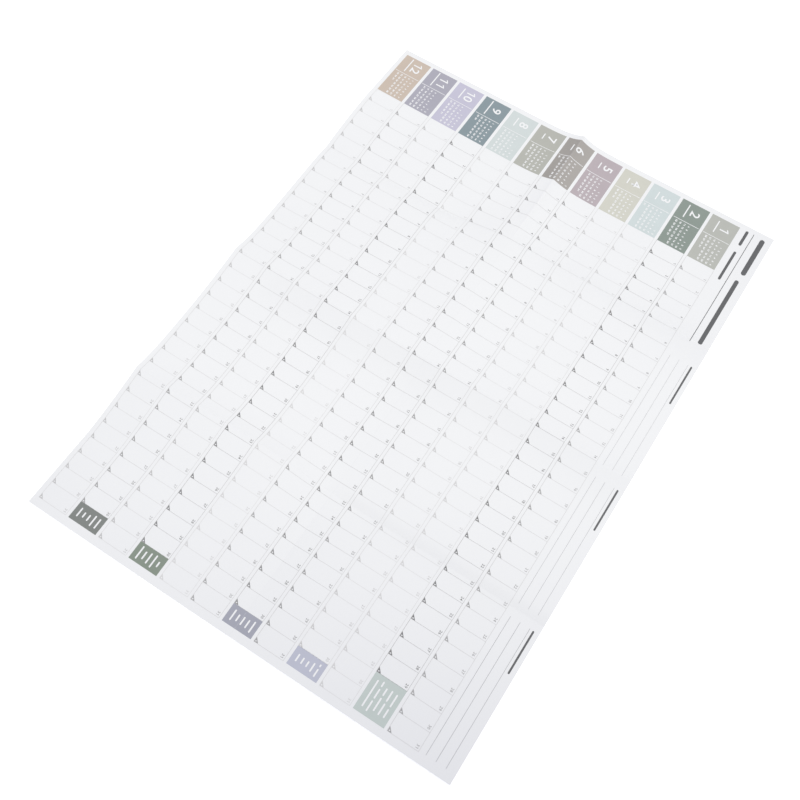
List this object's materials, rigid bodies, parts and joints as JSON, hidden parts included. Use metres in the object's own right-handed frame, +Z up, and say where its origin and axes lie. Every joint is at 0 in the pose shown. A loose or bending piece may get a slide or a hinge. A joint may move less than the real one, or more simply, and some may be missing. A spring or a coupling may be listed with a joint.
{
  "type": "wall calendar sheet",
  "caption": "Large paper year planner sheet, opened out with raised and sunken fold lines, coloured month blocks and rows of day cells.",
  "frame": {"origin": "on the table below the middle of the opened sheet, where the middle upright fold crosses the level fold", "axes": "+X along the day columns, from the month blocks to the last day; +Y towards the title edge; +Z up, out of the printed face"},
  "size_m": [0.74, 0.524, 0.0142],
  "materials": {
    "paper": "matt white planner paper, printed on one face"
  },
  "bodies": {
    "root": {"sheet": "paper"}
  },
  "joints": []
}
